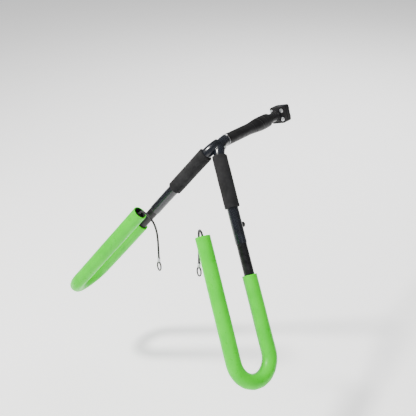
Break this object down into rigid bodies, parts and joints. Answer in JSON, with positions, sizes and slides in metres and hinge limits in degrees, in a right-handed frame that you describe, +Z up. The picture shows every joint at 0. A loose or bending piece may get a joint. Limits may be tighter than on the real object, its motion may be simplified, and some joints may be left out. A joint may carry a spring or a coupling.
{
  "type": "surfboard carrier",
  "caption": "Seat-post carrier that reaches out beside a bicycle and holds a surfboard on edge in two foam-padded U hooks with bungee cords.",
  "frame": {"origin": "where the arm's axis crosses the seat post's axis, in the middle of the clamp", "axes": "+Z up, +X towards the front of the bicycle, the arm reaches out along -Y"},
  "size_m": [0.7888, 0.7339, 0.5896],
  "materials": {
    "cast_metal": "satin black cast metal",
    "coated_tube": "semi-gloss black powder coat",
    "gloss_elbow": "gloss black coat",
    "bright_steel": "bright zinc",
    "green_foam": "smooth closed-cell foam",
    "charcoal_foam": "matte closed-cell foam",
    "arm_sleeve": "semi-gloss stretched sleeve",
    "black_rubber": "matte rubber",
    "black_plastic": "moulded plastic",
    "braided_cord": "braided cover"
  },
  "bodies": {
    "clamp": {"clamp_outer_jaw": "cast_metal", "clamp_inner_jaw": "cast_metal", "clamp_liner_outer": "black_rubber", "clamp_liner_inner": "black_rubber", "clamp_bolt_1": "bright_steel", "clamp_bolt_2": "bright_steel", "clamp_bolt_3": "bright_steel", "clamp_bolt_4": "bright_steel", "clamp_nut_1": "bright_steel", "clamp_nut_2": "bright_steel", "clamp_nut_3": "bright_steel", "clamp_nut_4": "bright_steel", "neck_tube": "coated_tube", "neck_collar": "cast_metal"},
    "arm": {"arm_tube": "coated_tube", "arm_sleeve": "arm_sleeve", "arm_lock_screw": "bright_steel", "hub_ring": "bright_steel", "hub_spigot": "coated_tube", "hub_bolt": "bright_steel", "front_elbow": "gloss_elbow", "rear_elbow": "gloss_elbow", "front_leg_foam": "charcoal_foam", "rear_leg_foam": "charcoal_foam"},
    "front_hook": {"front_hook_tube": "coated_tube", "front_hook_foam": "green_foam", "front_end_plug": "black_plastic", "front_lock_nut": "bright_steel", "front_cord": "braided_cord", "front_ferrule": "bright_steel", "front_cord_hook": "black_plastic"},
    "front_knob": {"front_lock_knob": "black_plastic"},
    "rear_hook": {"rear_hook_tube": "coated_tube", "rear_hook_foam": "green_foam", "rear_end_plug": "black_plastic", "rear_lock_nut": "bright_steel", "rear_cord": "braided_cord", "rear_ferrule": "bright_steel", "rear_cord_hook": "black_plastic"},
    "rear_knob": {"rear_lock_knob": "black_plastic"}
  },
  "joints": [
    {"name": "arm_swivel", "type": "hinge", "parent": "clamp", "child": "arm", "pos_m": [0, -0.115, 0], "axis": [0, -1, 0], "range_deg": [-30, 30]},
    {"name": "front_hook_slide", "type": "slide", "parent": "arm", "child": "front_hook", "axis": [0.551, -0.294, -0.781], "range_m": [-0.04, 0.035]},
    {"name": "front_knob_turn", "type": "hinge", "parent": "front_hook", "child": "front_knob", "pos_m": [0.14012, -0.4282, -0.19863], "axis": [0.2247, 0.9536, -0.2005], "range_deg": [0, 270]},
    {"name": "rear_hook_slide", "type": "slide", "parent": "arm", "child": "rear_hook", "axis": [-0.551, -0.294, -0.781], "range_m": [-0.04, 0.035]},
    {"name": "rear_knob_turn", "type": "hinge", "parent": "rear_hook", "child": "rear_knob", "pos_m": [-0.14012, -0.4432, -0.19863], "axis": [-0.2247, 0.9536, -0.2005], "range_deg": [0, 270]}
  ]
}
